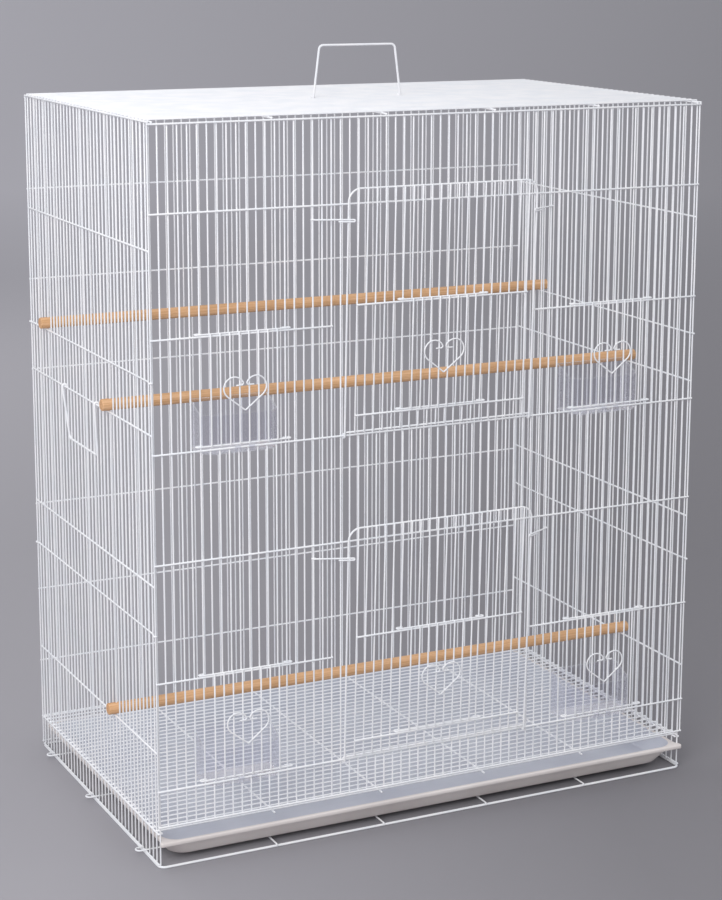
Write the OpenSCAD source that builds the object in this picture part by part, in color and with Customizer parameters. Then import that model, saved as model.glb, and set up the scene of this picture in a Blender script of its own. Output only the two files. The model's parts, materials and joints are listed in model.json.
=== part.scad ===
// Canary breeding cage, two storeys high, made of welded wire panels.
// Millimetres. The origin is on the surface the cage stands on, under the middle of its plan.
// X runs to the right along the front, Y runs to the back and Z runs up.
// Every straight wire is a solid of its own. Welded wires stand a hair apart at each crossing.

/* [Cage] */
// Width across the front
cage_w = 762; // [720:1:820]
// Depth from front to back
cage_d = 466; // [420:0.1:500]
// Height of the wire body without its handle
cage_h = 914.4; // [890:0.1:960]

/* [Wires] */
// Diameter of the upright bars and of the grille wires
bar_d = 2; // [1.6:0.1:2.4]
// Diameter of the crossbars that the bars are welded to
rail_d = 2.4; // [2:0.1:2.8]
// Diameter of the sliding rods of the hatches and feeder doors
rod_d = 2.2; // [1.8:0.1:2.4]
// Diameter of the wire hearts
heart_d = 1.8; // [1.4:0.1:2.2]
// Diameter of the base ring
ring_d = 3.2; // [2.8:0.1:4]
// Diameter of the carrying handles
handle_d = 3; // [2.4:0.1:3.4]

/* [Bar spaces] */
// Spaces between the left corner and the left feeder opening
left_spaces = 5; // [4:1:6]
// Spaces across one feeder opening
feeder_spaces = 9; // [8:1:10]
// Spaces between a feeder opening and the big door opening
between_spaces = 6; // [6:1:8]
// Spaces across the big door opening
door_spaces = 21; // [19:1:23]
// Spaces between the right feeder opening and the right corner
right_spaces = 6; // [5:1:7]
// Spaces between the bars of a side panel
side_spaces = 36; // [34:1:38]

/* [Heights] */
// Lowest crossbar of the front panel, over the tray
front_low_z = 54; // [50:1:58]
// Sill crossbar of the lower storey
sill_z = 100; // [92:1:110]
// Height from one storey's sill to the next
storey_h = 420; // [415:1:430]
// Height of a big door opening
door_open_h = 285; // [280:1:290]
// Height of a feeder opening
feeder_open_h = 137.5; // [120:0.5:150]
// Crossbar of the side and back panels that carries the floor grille
grille_rail_z = 44; // [42:1:46]
// Side crossbar that carries the lower perch
lower_perch_rail_z = 148; // [140:1:160]
// Side crossbar that carries the middle perch and the side handle
middle_perch_rail_z = 543; // [530:1:550]
// Side crossbar that carries the upper perch
upper_perch_rail_z = 607; // [600:1:620]

/* [Doors] */
// Height of a big door above its hinge crossbar
door_h = 305; // [300:1:308]
// Bend radius of the big door's upper corners
door_corner_r = 16; // [10:1:24]
// Angle at which a closed door leans out on its latch hooks
door_lean = 2.2; // [1.5:0.1:3]
// Height of the hatch sill above the big door's hinge
hatch_sill_z = 26; // [20:1:32]
// Height of the hatch opening in the big door
hatch_open_h = 138; // [120:1:140]
// Number of the door space where the hatch opening starts
hatch_left_spaces = 6; // [5:1:7]
// Door spaces across the hatch opening
hatch_spaces = 9; // [8:1:9]
// Depth of the latch hooks below the top of their door
latch_drop = 37; // [30:1:50]
// Reach of a latch hook past the side wire of its door
latch_past = 8; // [6:1:10]
// Width of a wire heart
heart_w = 55; // [48:1:60]
// Height of a wire heart
heart_h = 41; // [36:1:46]

/* [Feeder cups] */
// Depth of a cup from front to back
cup_depth = 48; // [40:1:56]
// Wall of a cup
cup_wall = 1.6; // [1.2:0.1:2.4]
// Depth of a cup's bottom below its sill
cup_drop = 8; // [6:1:12]
// Height of a cup's front wall above its sill
cup_front_h = 40; // [32:1:46]
// Height of a cup's back wall above its sill
cup_back_h = 53; // [48:1:60]
// Chamfer of a cup's front corners
cup_chamfer = 12; // [8:1:16]

/* [Perches] */
// Diameter of a perch
perch_d = 15; // [12:0.5:16]
// Stick-out of a perch past the side crossbars
perch_out = 8; // [5:1:12]

/* [Tray] */
// Wall of the tray
tray_wall = 2; // [1.6:0.1:3]
// Height of the tray from its underside to the top of its rim
tray_h = 26.5; // [22:0.5:28]
// Slope of the tray walls, from rim to bottom
tray_draft = 15; // [8:1:20]
// Corner radius of the tray
tray_r = 22; // [14:1:28]
// Height of the rolled edge of the tray rim
rim_h = 5; // [4:0.5:7]

/* [Handles] */
// Side panel spaces between the feet of a handle
handle_spaces = 10; // [8:1:12]
// Height of a handle from its pivot to the middle of its grip
handle_h = 68; // [60:1:76]
// Bend radius of a handle's corners
handle_r = 6; // [5:1:9]

/* [Clearances] */
// Hairline between two wires where they are welded
weld_gap = 0.04; // [0.02:0.01:0.06]
// Play between a sliding rod and its guide bars
slide_gap = 0.5; // [0.4:0.05:0.7]
// Play all round a wire inside a bent eye
eye_gap = 0.08; // [0.05:0.01:0.1]
// Space between pieces that pass or rest on each other
rest_gap = 0.3; // [0.25:0.05:0.4]

/* [Hidden] */
$fn = 16;

RIGHT = [1, 0, 0];
BACK = [0, 1, 0];
UP = [0, 0, 1];

bar_r = bar_d / 2;
rail_r = rail_d / 2;
rod_r = rod_d / 2;
heart_r = heart_d / 2;
ring_r = ring_d / 2;
handle_wire_r = handle_d / 2;
bar_to_rail = bar_r + rail_r + weld_gap;

// Front and back panels: the crossbars lie on the outside of the bars.
post_x = cage_w / 2 - bar_r;
rail_y = cage_d / 2 - rail_r;
bar_y = rail_y - bar_to_rail;
front_spaces = left_spaces + 2 * feeder_spaces + 2 * between_spaces + door_spaces + right_spaces;
front_pitch = 2 * post_x / front_spaces;
function bar_x(k) = -post_x + k * front_pitch;
left_bar = left_spaces;
door_bar = left_spaces + feeder_spaces + between_spaces;
right_bar = door_bar + door_spaces + between_spaces;
door_end_bar = door_bar + door_spaces;

// Side panels: the crossbars again lie on the outside of the bars.
side_rail_x = cage_w / 2 - rail_r;
side_bar_x = side_rail_x - bar_to_rail;
side_post_y = bar_y - bar_to_rail;
side_pitch = 2 * side_post_y / side_spaces;
function side_bar_y(k) = -side_post_y + k * side_pitch;
function side_gap_y(k) = side_bar_y(k + 0.5);
side_rail_end_y = bar_y - bar_r - rest_gap;

// Heights of the base, from the surface up.
depth_wire_z = ring_d + weld_gap + rail_r;
cross_wire_z = depth_wire_z + rail_d + weld_gap;
tray_z = cross_wire_z + rail_r + rest_gap;
tray_top_z = tray_z + tray_h;
grille_z = grille_rail_z + rail_r + weld_gap + bar_r;

// Heights of the top, from the highest wires down.
top_wire_z = cage_h - bar_r;
top_cross_z = top_wire_z - bar_to_rail;
top_rail_z = top_cross_z - rail_d - weld_gap;
front_bar_top_z = top_cross_z - rail_r - weld_gap;
side_bar_top_z = top_wire_z - bar_r - weld_gap;

// Ends of bars past the middle of the crossbar they are welded to
stub = 1;
// A wire is this much thinner than the eye or bend that it grows out of
fuse_step = 0.1;
sills = [sill_z, sill_z + storey_h];
plain_side_rails = [358, 762];
hooked_side_rails = [298, upper_perch_rail_z];
hook_leg = 9;
back_rails = [126, 230, 352, 541, 665, 787];

cross_wire_spaces = [3, 18, 31];
depth_wire_count = 4;
grille_cross_count = 6;
grille_cross_inset = 6;
grille_cross_pitch = (cage_w - 2 * grille_cross_inset) / (grille_cross_count - 1);
base_hairpin_out = 12;
base_hairpin_w = 10;
base_corner_r = 8;

perch_bars = [12, 12, 31];
perch_slot = bar_d + 2 * rest_gap;
perch_half = cage_w / 2 + perch_out;
perch_gap = 0.05;
perch_seat = rail_r + perch_gap + perch_d / 2;

// Sliding rods run in front of their guide bars and turn back behind them.
rod_off = bar_r + slide_gap + rod_r;
hairpin_back = 3.5;
slat_off = rod_off + rod_r + weld_gap + bar_r;
heart_off = slat_off + bar_r + weld_gap + heart_r;
rod_rest = rail_r + rod_r + rest_gap;
tab_t = 1.5;
tab_gap = 0.4;
cup_top_rod_gap = rail_r + rest_gap + tab_t + tab_gap + rod_r;
heart_lift = 46;
heart_curl_r = 2.5;
heart_curl_a = 150;

// Big doors, seen in their own upright plane with the hinge crossbar as the origin.
door_eye_r = rail_r + eye_gap + rail_r;
door_leg_y = -door_eye_r;
door_left_lap = 3.4;
door_right_lap = 6.6;
door_left_x = bar_x(door_bar) + door_left_lap;
door_right_x = bar_x(door_end_bar) + door_right_lap;
door_bar_y = door_leg_y - bar_to_rail;
door_rail_y = door_bar_y - bar_to_rail;
door_pitch = (door_right_x - door_left_x) / door_spaces;
door_foot_z = 4.4;
function door_bar_x(k) = door_left_x + k * door_pitch;
hatch_end_bar = hatch_left_spaces + hatch_spaces;
hatch_head_z = hatch_sill_z + hatch_open_h;

// Latch hooks pivot on a bar three spaces away from the door opening.
latch_bars = 3;
latch_z = door_h - latch_drop;
latch_eye_r = bar_r + eye_gap + bar_r;
latch_lap = 2;
latch_hairpin = 20;
latch_hairpin_r = 2.6;

handle_span = handle_spaces * side_pitch;
handle_wire = side_spaces / 2;
handle_draw = 8;
side_handle_gap = 15;

// The tray's walls stand in from its rim, which is widest in front of the side panels.
tray_side_gap = 0.6;
tray_back_gap = 2.5;
tray_nose = 4;
tray_rim_side = 3;
tray_rim_front = 4;
tray_half_x = side_bar_x - bar_r - tray_side_gap;
tray_front_y = -cage_d / 2 - tray_nose;
tray_back_y = bar_y - bar_r - tray_back_gap;
tray_nose_x = cage_w / 2 - bar_r;
// Height of the thin slices that the tray's walls are drawn between
tray_skin = 0.2;

cup_side_gap = 4.2;
cup_tab_w = 7;
cup_tab_x = 9;
cup_flat_top = 4;
cup_front_y = -bar_y + bar_r + rest_gap;

function unit(v) = v / norm(v);
function flipped(list) = [for (i = [len(list) - 1:-1:0]) list[i]];

// Points on an arc about c, from angle a0 to a1, in the plane of the directions u and v
function arc(c, r, a0, a1, u, v, steps = 6) =
    [for (i = [0:steps]) let (a = a0 + (a1 - a0) * i / steps) c + r * (cos(a) * u + sin(a) * v)];

// Straight wires with their ends at a and b along one axis
module wire_x(a, b, y, z, d) {
    translate([a, y, z]) rotate([0, 90, 0]) cylinder(h = b - a, d = d);
}
module wire_y(a, b, x, z, d) {
    translate([x, b, z]) rotate([90, 0, 0]) cylinder(h = b - a, d = d);
}
module wire_z(a, b, x, y, d) {
    translate([x, y, a]) cylinder(h = b - a, d = d);
}

// A bent wire of diameter d along the points p, which lie in one plane at right angles to side
module bent_wire(p, d, side, facets = 8) {
    last = len(p) - 1;
    legs = [for (i = [0:last - 1]) unit(p[i + 1] - p[i])];
    rings = [for (i = [0:last])
        let (before = legs[max(i - 1, 0)], after = legs[min(i, last - 1)])
        let (along = unit(before + after), across = cross(along, side) / (along * after))
        for (j = [0:facets - 1])
            let (a = 360 * (j + 0.5) / facets)
            p[i] + d / 2 * (cos(a) * across + sin(a) * side)];
    walls = [for (i = [0:last - 1]) for (j = [0:facets - 1])
        let (a = i * facets + j, b = i * facets + (j + 1) % facets)
        [a, b, b + facets, a + facets]];
    caps = [[for (j = [facets - 1:-1:0]) j], [for (j = [0:facets - 1]) last * facets + j]];
    polyhedron(rings, concat(caps, walls));
}

// A closed eye round a wire that runs along Z, centred on the origin
module eye(r, d) {
    rotate_extrude($fn = 32) translate([r, 0]) circle(d = d);
}

// A quarter bend about the origin, from +X to +Y
module quarter_bend(r, d) {
    rotate_extrude(angle = 90, $fn = 32) translate([r, 0]) circle(d = d);
}

module base_frame() {
    x = cage_w / 2 - ring_r;
    y = cage_d / 2 - ring_r;
    bend = base_corner_r;
    straight_x = x - bend - weld_gap;
    straight_y = y - bend - weld_gap;
    color("gainsboro") {
        for (s = [-1, 1]) {
            wire_x(-straight_x, straight_x, s * y, ring_r, ring_d);
            wire_y(-straight_y, straight_y, s * x, ring_r, ring_d);
        }
        for (i = [0:3])
            translate([(i == 0 || i == 3 ? 1 : -1) * (x - bend), (i < 2 ? 1 : -1) * (y - bend), ring_r])
                rotate([0, 0, 90 * i]) quarter_bend(bend, ring_d);
        for (i = [0:depth_wire_count - 1])
            base_depth_wire((i - (depth_wire_count - 1) / 2) * grille_cross_pitch, y);
        for (k = cross_wire_spaces) base_cross_wire(side_gap_y(k));
    }
}

// Wire from front to back over the ring, curled down in front of it
module base_depth_wire(x, ring_y) {
    curl_r = ring_r + weld_gap + rail_r;
    bent_wire(concat([[x, cage_d / 2, depth_wire_z]],
                     arc([x, -ring_y, ring_r], curl_r, 90, 180, BACK, UP)),
              rail_d, RIGHT);
}

// Wire from side to side that the tray runs on, with a hairpin over each side panel's foot
module base_cross_wire(y) {
    r = base_hairpin_w / 2;
    turn_x = cage_w / 2 + base_hairpin_out - rail_r - r;
    z = cross_wire_z;
    bent_wire(concat([[-side_rail_x, y + 2 * r, z]],
                     arc([-turn_x, y + r, z], r, 90, 270, RIGHT, BACK),
                     arc([turn_x, y + r, z], r, -90, 90, RIGHT, BACK),
                     [[side_rail_x, y + 2 * r, z]]),
              rail_d, UP);
}

// Outline of the tray, drawn in by inset on every side
module tray_outline(inset) {
    half_x = tray_half_x - tray_rim_side - inset;
    front = tray_front_y + tray_rim_front + inset;
    back = tray_back_y - tray_rim_side - inset;
    hull()
        for (x = [-half_x + tray_r, half_x - tray_r], y = [front + tray_r, back - tray_r])
            translate([x, y]) circle(tray_r, $fn = 24);
}

module tray_shell(bottom_z, inset) {
    hull() {
        translate([0, 0, tray_top_z - tray_skin]) linear_extrude(tray_skin) tray_outline(inset);
        translate([0, 0, bottom_z]) linear_extrude(tray_skin) tray_outline(inset + tray_draft);
    }
}

module tray() {
    post_front_y = -side_post_y - bar_r - rest_gap;
    color("linen") difference() {
        union() {
            tray_shell(tray_z, 0);
            translate([0, 0, tray_top_z - rim_h]) linear_extrude(rim_h) {
                translate([-tray_half_x, post_front_y])
                    square([2 * tray_half_x, tray_back_y - post_front_y]);
                translate([-tray_nose_x, tray_front_y])
                    square([2 * tray_nose_x, post_front_y - tray_front_y]);
            }
        }
        translate([0, 0, tray_skin]) tray_shell(tray_z + tray_wall, tray_wall);
    }
}

// Flat grid of wires along X, welded on cross wires along Y
module grid(half_x, z, cross_a, cross_b) {
    for (k = [0:side_spaces - 1]) wire_x(-half_x, half_x, side_gap_y(k), z, bar_d);
    for (i = [0:grille_cross_count - 1])
        wire_y(cross_a, cross_b, (i - (grille_cross_count - 1) / 2) * grille_cross_pitch,
               z - bar_to_rail, rail_d);
}

module floor_grille() {
    color("gainsboro")
        grid(cage_w / 2, grille_z, -side_post_y, side_post_y);
}

module top_panel() {
    color("gainsboro")
        grid(cage_w / 2, top_wire_z, -cage_d / 2, cage_d / 2);
}

// Side crossbar whose ends are hooked round the corner posts of the front and back panels
module hooked_rail(z) {
    post = [-post_x, bar_y, z];
    hook_r = bar_to_rail;
    half = concat([[-side_rail_x, bar_y - hook_leg, z]],
                  arc(post, hook_r, 180, 20, RIGHT, BACK));
    other = [for (p = flipped(half)) [p[0], -p[1], p[2]]];
    bent_wire(concat(other, half), rail_d, UP);
}

module side_panel() {
    color("gainsboro") {
        for (k = [0:side_spaces])
            wire_z(ring_d + weld_gap, side_bar_top_z, -side_bar_x, side_bar_y(k), bar_d);
        for (z = concat([depth_wire_z, grille_rail_z, lower_perch_rail_z, middle_perch_rail_z],
                        plain_side_rails))
            wire_y(-side_rail_end_y, side_rail_end_y, -side_rail_x, z, rail_d);
        wire_y(-cage_d / 2, cage_d / 2, -side_rail_x, top_cross_z, rail_d);
        for (z = hooked_side_rails) hooked_rail(z);
    }
}

module left_panel() {
    side_panel();
}

module right_panel() {
    mirror([1, 0, 0]) side_panel();
}

module back_panel() {
    foot_z = cross_wire_z;
    color("gainsboro") {
        for (k = [0:front_spaces])
            wire_z(foot_z - stub, front_bar_top_z, bar_x(k), bar_y, bar_d);
        for (z = concat([foot_z, grille_rail_z], back_rails, [top_rail_z]))
            wire_x(-cage_w / 2, cage_w / 2, rail_y, z, rail_d);
    }
}

function in_feeder(k) = (k > left_bar && k < left_bar + feeder_spaces)
    || (k > right_bar && k < right_bar + feeder_spaces);
function in_door(k) = k > door_bar && k < door_end_bar;

// Heights between which bar k runs, broken at the openings of both storeys
function bar_spans(k) =
    let (h = in_door(k) ? door_open_h : in_feeder(k) ? feeder_open_h : 0)
    h == 0 ? [[front_low_z - stub, front_bar_top_z]]
           : [[front_low_z - stub, sills[0] + stub],
              [sills[0] + h - stub, sills[1] + stub],
              [sills[1] + h - stub, front_bar_top_z]];

module front_panel() {
    color("gainsboro") {
        for (k = [0:front_spaces]) for (span = bar_spans(k))
            wire_z(span[0], span[1], bar_x(k), -bar_y, bar_d);
        for (z = [front_low_z, sills[0], sills[0] + door_open_h, sills[1], sills[1] + door_open_h,
                  top_rail_z])
            wire_x(-cage_w / 2, cage_w / 2, -rail_y, z, rail_d);
        for (z = sills) {
            wire_x(-cage_w / 2, bar_x(door_bar - 1) + bar_r, -rail_y, z + feeder_open_h, rail_d);
            wire_x(bar_x(door_end_bar + 1) - bar_r, cage_w / 2, -rail_y, z + feeder_open_h, rail_d);
        }
    }
}

// Wooden dowel whose slotted ends straddle a bar of each side panel
module perch(rail_z, bar) {
    slot_l = perch_half - side_bar_x + bar_r + rest_gap;
    color("burlywood") translate([0, side_bar_y(bar), rail_z + perch_seat]) difference() {
        wire_x(-perch_half, perch_half, 0, 0, perch_d);
        for (s = [-1, 1])
            translate([s * perch_half, 0, 0]) cube([2 * slot_l, perch_slot, perch_d + 2], center = true);
    }
}

module perch_lower() {
    perch(lower_perch_rail_z, perch_bars[0]);
}

module perch_middle() {
    perch(middle_perch_rail_z, perch_bars[1]);
}

module perch_upper() {
    perch(upper_perch_rail_z, perch_bars[2]);
}

// Stands its children in the leaning plane of a big door
module at_door(storey) {
    translate([0, -rail_y, sills[storey]]) rotate([door_lean, 0, 0]) children();
}

// Rod between two guide bars at x0 and x1, with both ends turned back behind them
module hairpin_rod(x0, x1, guide_y, z) {
    behind = guide_y + rod_off;
    bent_wire(concat([[x0 + hairpin_back, behind, z]],
                     arc([x0 - hairpin_back, guide_y, z], rod_off, 90, 270, RIGHT, BACK),
                     arc([x1 + hairpin_back, guide_y, z], rod_off, -90, 90, RIGHT, BACK),
                     [[x1 - hairpin_back, behind, z]]),
              rod_d, UP);
}

// Sliding shutter of two hairpin rods and the slats between the guide bars
module shutter(x0, x1, spaces, guide_y, foot_z, head_z) {
    hairpin_rod(x0, x1, guide_y, foot_z);
    hairpin_rod(x0, x1, guide_y, head_z);
    for (k = [1:spaces - 1])
        wire_z(foot_z - stub, head_z + stub, x0 + (x1 - x0) * k / spaces, guide_y - slat_off, bar_d);
}

module big_door(storey) {
    top_z = door_h - door_corner_r;
    color("gainsboro") at_door(storey) {
        for (side = [0, 1]) {
            x = side == 0 ? door_left_x : door_right_x;
            rotate([0, 90, 0]) translate([0, 0, x]) eye(door_eye_r, rail_d);
            wire_z(0, top_z - weld_gap, x, door_leg_y, rail_d - fuse_step);
            translate([x + (side == 0 ? 1 : -1) * door_corner_r, door_leg_y, top_z])
                rotate([90, 0, 180 * (1 - side)]) quarter_bend(door_corner_r, rail_d);
        }
        wire_x(door_left_x + door_corner_r + weld_gap, door_right_x - door_corner_r - weld_gap,
               door_leg_y, door_h, rail_d);
        wire_x(door_left_x + rail_d, door_right_x - rail_d, door_leg_y, door_foot_z, rail_d);
        for (k = [1:door_spaces - 1])
            for (span = door_bar_spans(k))
                wire_z(span[0], span[1], door_bar_x(k), door_bar_y, bar_d);
        for (z = [hatch_sill_z, hatch_head_z])
            wire_x(door_bar_x(1) - bar_r, door_bar_x(door_spaces - 1) + bar_r, door_rail_y, z, rail_d);
    }
}

// Heights between which bar k of a big door runs, broken at the hatch opening
function door_bar_spans(k) =
    k > hatch_left_spaces && k < hatch_end_bar
        ? [[door_foot_z - stub, hatch_sill_z + stub], [hatch_head_z - stub, door_h + stub]]
        : [[door_foot_z - stub, door_h + stub]];

module lower_door() {
    big_door(0);
}

module upper_door() {
    big_door(1);
}

module hatch(storey) {
    color("gainsboro") at_door(storey)
        shutter(door_bar_x(hatch_left_spaces), door_bar_x(hatch_end_bar), hatch_spaces, door_bar_y,
                hatch_sill_z + rod_rest, hatch_head_z + rod_rest);
}

module lower_hatch() {
    hatch(0);
}

module upper_hatch() {
    hatch(1);
}

// Heart of bent wire: a point at the bottom and two lobes that curl in, in the plane y = 0
module heart() {
    lobe_r = heart_w / 4 - heart_r / 2;
    lobe = [heart_w / 4 + heart_r / 2, 0, heart_h - lobe_r];
    curl_r = heart_curl_r;
    curl = lobe + (lobe_r - curl_r) * (cos(heart_curl_a) * RIGHT + sin(heart_curl_a) * UP);
    start_a = atan2(lobe[2], lobe[0]) - asin(lobe_r / norm(lobe)) - 90;
    half = concat(arc(lobe, lobe_r, start_a, heart_curl_a, RIGHT, UP, 9),
                  arc(curl, curl_r, heart_curl_a + 30, 270, RIGHT, UP, 3),
                  [curl + [heart_w / 8, 0, -curl_r]]);
    left = [for (p = flipped(half)) [-p[0], p[1], p[2]]];
    bent_wire(concat(left, [[0, 0, 0]], half), heart_d, BACK, 6);
}

module hatch_heart(storey) {
    x = (door_bar_x(hatch_left_spaces) + door_bar_x(hatch_end_bar)) / 2;
    color("gainsboro") at_door(storey)
        translate([x, door_bar_y - heart_off, hatch_sill_z + heart_lift]) heart();
}

module lower_hatch_heart() {
    hatch_heart(0);
}

module upper_hatch_heart() {
    hatch_heart(1);
}

module feeder_door(storey, bar) {
    z = sills[storey];
    color("gainsboro")
        shutter(bar_x(bar), bar_x(bar + feeder_spaces), feeder_spaces, -bar_y,
                z + cup_top_rod_gap, z + feeder_open_h + rod_rest);
}

module feeder_heart(storey, bar) {
    color("gainsboro")
        translate([bar_x(bar + feeder_spaces / 2), -bar_y - heart_off, sills[storey] + heart_lift])
            heart();
}

module lower_left_feeder_door() {
    feeder_door(0, left_bar);
}

module lower_right_feeder_door() {
    feeder_door(0, right_bar);
}

module upper_left_feeder_door() {
    feeder_door(1, left_bar);
}

module upper_right_feeder_door() {
    feeder_door(1, right_bar);
}

module lower_left_heart() {
    feeder_heart(0, left_bar);
}

module lower_right_heart() {
    feeder_heart(0, right_bar);
}

module upper_left_heart() {
    feeder_heart(1, left_bar);
}

module upper_right_heart() {
    feeder_heart(1, right_bar);
}

// Block with the cup's plan and sloping top, drawn in by inset and standing on bottom_z
module cup_block(inset, bottom_z, extra_top) {
    half = feeder_spaces * front_pitch / 2 - cup_side_gap - inset;
    front = cup_front_y + inset;
    back = cup_front_y + cup_depth - inset;
    cut = cup_chamfer - (2 - sqrt(2)) * inset;
    front_top = cup_front_h + extra_top;
    back_top = cup_back_h + extra_top;
    intersection() {
        translate([0, 0, bottom_z]) linear_extrude(back_top - bottom_z)
            polygon([[-half + cut, front], [half - cut, front], [half, front + cut],
                     [half, back], [-half, back], [-half, front + cut]]);
        rotate([90, 0, 90]) translate([0, 0, -half]) linear_extrude(2 * half)
            polygon([[front, bottom_z], [back, bottom_z], [back, back_top],
                     [cup_front_y + cup_depth - cup_flat_top, back_top],
                     [cup_front_y + cup_chamfer, front_top], [front, front_top]]);
    }
}

// Clear cup that hangs inside the panel with two tabs hooked over the sill crossbar
module cup(storey, bar) {
    tab_z = rail_r + rest_gap;
    lip_y = -rail_y - rail_r - rest_gap - tab_t;
    color([0.85, 0.9, 0.95, 0.6]) translate([bar_x(bar + feeder_spaces / 2), 0, sills[storey]]) {
        difference() {
            union() {
                cup_block(0, -cup_drop, 0);
                for (x = [-cup_tab_x, cup_tab_x]) translate([x - cup_tab_w / 2, lip_y, tab_z]) {
                    cube([cup_tab_w, cup_front_y - lip_y + cup_wall / 2, tab_t]);
                    translate([0, 0, -cup_tab_w]) cube([cup_tab_w, tab_t, cup_tab_w + tab_t]);
                }
            }
            cup_block(cup_wall, -cup_drop + cup_wall, cup_wall);
        }
    }
}

module lower_left_cup() {
    cup(0, left_bar);
}

module lower_right_cup() {
    cup(0, right_bar);
}

module upper_left_cup() {
    cup(1, left_bar);
}

module upper_right_cup() {
    cup(1, right_bar);
}

// Hook that pivots on a bar and holds a door wire in front of the panel. It points along +X
// when side is 1 and along -X when side is -1.
module latch(storey, side) {
    pivot_x = side > 0 ? bar_x(door_bar - latch_bars) : bar_x(door_end_bar + latch_bars);
    wire_at = side > 0 ? door_left_x : door_right_x;
    // The door wire at the hook's height, seen from the pivot
    reach = abs(wire_at - pivot_x);
    out = rail_y - bar_y + latch_z * tan(door_lean) + door_eye_r / cos(door_lean);
    wire_gap = rail_r / cos(door_lean) + rest_gap + bar_r - latch_eye_r;
    swing = atan2(out, reach) + asin(wire_gap / norm([out, reach]));
    arm_l = norm([out, reach]) + latch_past - latch_hairpin_r;
    r = latch_hairpin_r;
    color("gainsboro") translate([pivot_x, -bar_y, sills[storey] + latch_z])
        mirror([side > 0 ? 0 : 1, 0, 0]) rotate([0, 0, -swing]) {
            eye(latch_eye_r, bar_d);
            wire_x(0, arm_l, -latch_eye_r, 0, bar_d - fuse_step);
            bent_wire(concat([[arm_l - latch_lap, -latch_eye_r, 0]],
                             arc([arm_l, -latch_eye_r, -r], r, 90, -90, RIGHT, UP),
                             [[arm_l + r - latch_hairpin, -latch_eye_r, -2 * r]]),
                      bar_d - 2 * fuse_step, BACK);
        }
}

module lower_left_latch() {
    latch(0, 1);
}

module lower_right_latch() {
    latch(0, -1);
}

module upper_left_latch() {
    latch(1, 1);
}

module upper_right_latch() {
    latch(1, -1);
}

// Bail that stands up along +Z from a pivot wire of radius pivot_r that runs along X
module bail(pivot_r) {
    eye_r = pivot_r + eye_gap + handle_wire_r;
    half = handle_span / 2;
    bend = handle_r;
    inset = handle_draw + bend;
    top = handle_h;
    for (s = [-1, 1])
        translate([s * half, 0, 0]) rotate([0, 90, 0]) eye(eye_r, handle_d);
    bent_wire(concat([[-half, -eye_r, 0]],
                     arc([-half + inset, -eye_r, top - bend], bend, 180, 90, RIGHT, UP),
                     arc([half - inset, -eye_r, top - bend], bend, 90, 0, RIGHT, UP),
                     [[half, -eye_r, 0]]),
              handle_d - fuse_step, BACK);
}

module top_handle() {
    color("gainsboro")
        translate([0, side_gap_y(handle_wire), top_wire_z]) bail(bar_r);
}

// Bail that hangs from a side crossbar with its grip against the bars
module side_handle() {
    middle_y = side_gap_y(side_handle_gap) + handle_span / 2;
    eye_r = rail_r + eye_gap + handle_wire_r;
    bar_face_x = side_bar_x + bar_r + rest_gap;
    tilt = asin((side_rail_x + eye_r - handle_wire_r - bar_face_x) / handle_h);
    color("gainsboro") translate([-side_rail_x, middle_y, middle_perch_rail_z])
        rotate([0, -tilt, 0]) rotate([180, 0, 90]) bail(rail_r);
}

base_frame();
tray();
floor_grille();
left_panel();
right_panel();
back_panel();
front_panel();
top_panel();
perch_lower();
perch_middle();
perch_upper();
lower_door();
upper_door();
lower_hatch();
upper_hatch();
lower_hatch_heart();
upper_hatch_heart();
lower_left_feeder_door();
lower_right_feeder_door();
upper_left_feeder_door();
upper_right_feeder_door();
lower_left_heart();
lower_right_heart();
upper_left_heart();
upper_right_heart();
lower_left_cup();
lower_right_cup();
upper_left_cup();
upper_right_cup();
lower_left_latch();
lower_right_latch();
upper_left_latch();
upper_right_latch();
top_handle();
side_handle();
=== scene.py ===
"""Looks of a two-storey wire breeding cage: coated wire, dowel perches, clear cups and a tray."""
import json
import math

import bmesh
import bpy
from mathutils import Matrix, Vector


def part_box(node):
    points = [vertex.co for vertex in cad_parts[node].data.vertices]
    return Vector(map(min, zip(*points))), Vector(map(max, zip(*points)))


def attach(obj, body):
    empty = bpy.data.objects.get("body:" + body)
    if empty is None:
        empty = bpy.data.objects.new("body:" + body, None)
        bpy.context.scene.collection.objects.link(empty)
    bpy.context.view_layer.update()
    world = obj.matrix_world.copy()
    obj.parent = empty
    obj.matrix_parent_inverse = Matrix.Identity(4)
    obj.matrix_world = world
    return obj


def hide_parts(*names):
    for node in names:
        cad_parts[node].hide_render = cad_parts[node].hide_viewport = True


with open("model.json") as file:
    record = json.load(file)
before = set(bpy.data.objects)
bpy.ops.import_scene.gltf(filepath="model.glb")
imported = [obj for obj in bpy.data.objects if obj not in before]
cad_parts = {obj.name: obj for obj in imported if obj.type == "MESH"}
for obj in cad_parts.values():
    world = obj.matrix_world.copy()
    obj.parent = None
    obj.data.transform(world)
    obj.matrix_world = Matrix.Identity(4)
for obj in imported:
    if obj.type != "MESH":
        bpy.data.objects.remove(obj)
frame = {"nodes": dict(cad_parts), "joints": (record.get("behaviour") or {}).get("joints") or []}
bpy.context.view_layer.update()
scene = bpy.context.scene
mm = 0.001

# ---------------------------------------------------------------------------------------------
# Camera. It stands left of the cage's middle, a little above its top, and looks slightly down.
# Its place, turn and focal length were fitted to corners and wire ends of the cage.
photo_w, photo_h = 722, 900
focal_px = 2164.5
centre_px = (383.2, 376.5)
yaw, pitch, roll = (math.radians(a) for a in (-26.53, -11.5, -0.22))
camera_place = (-1.2432, -2.566, 1.1201)
sensor = 24
far_enough = 100

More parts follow.
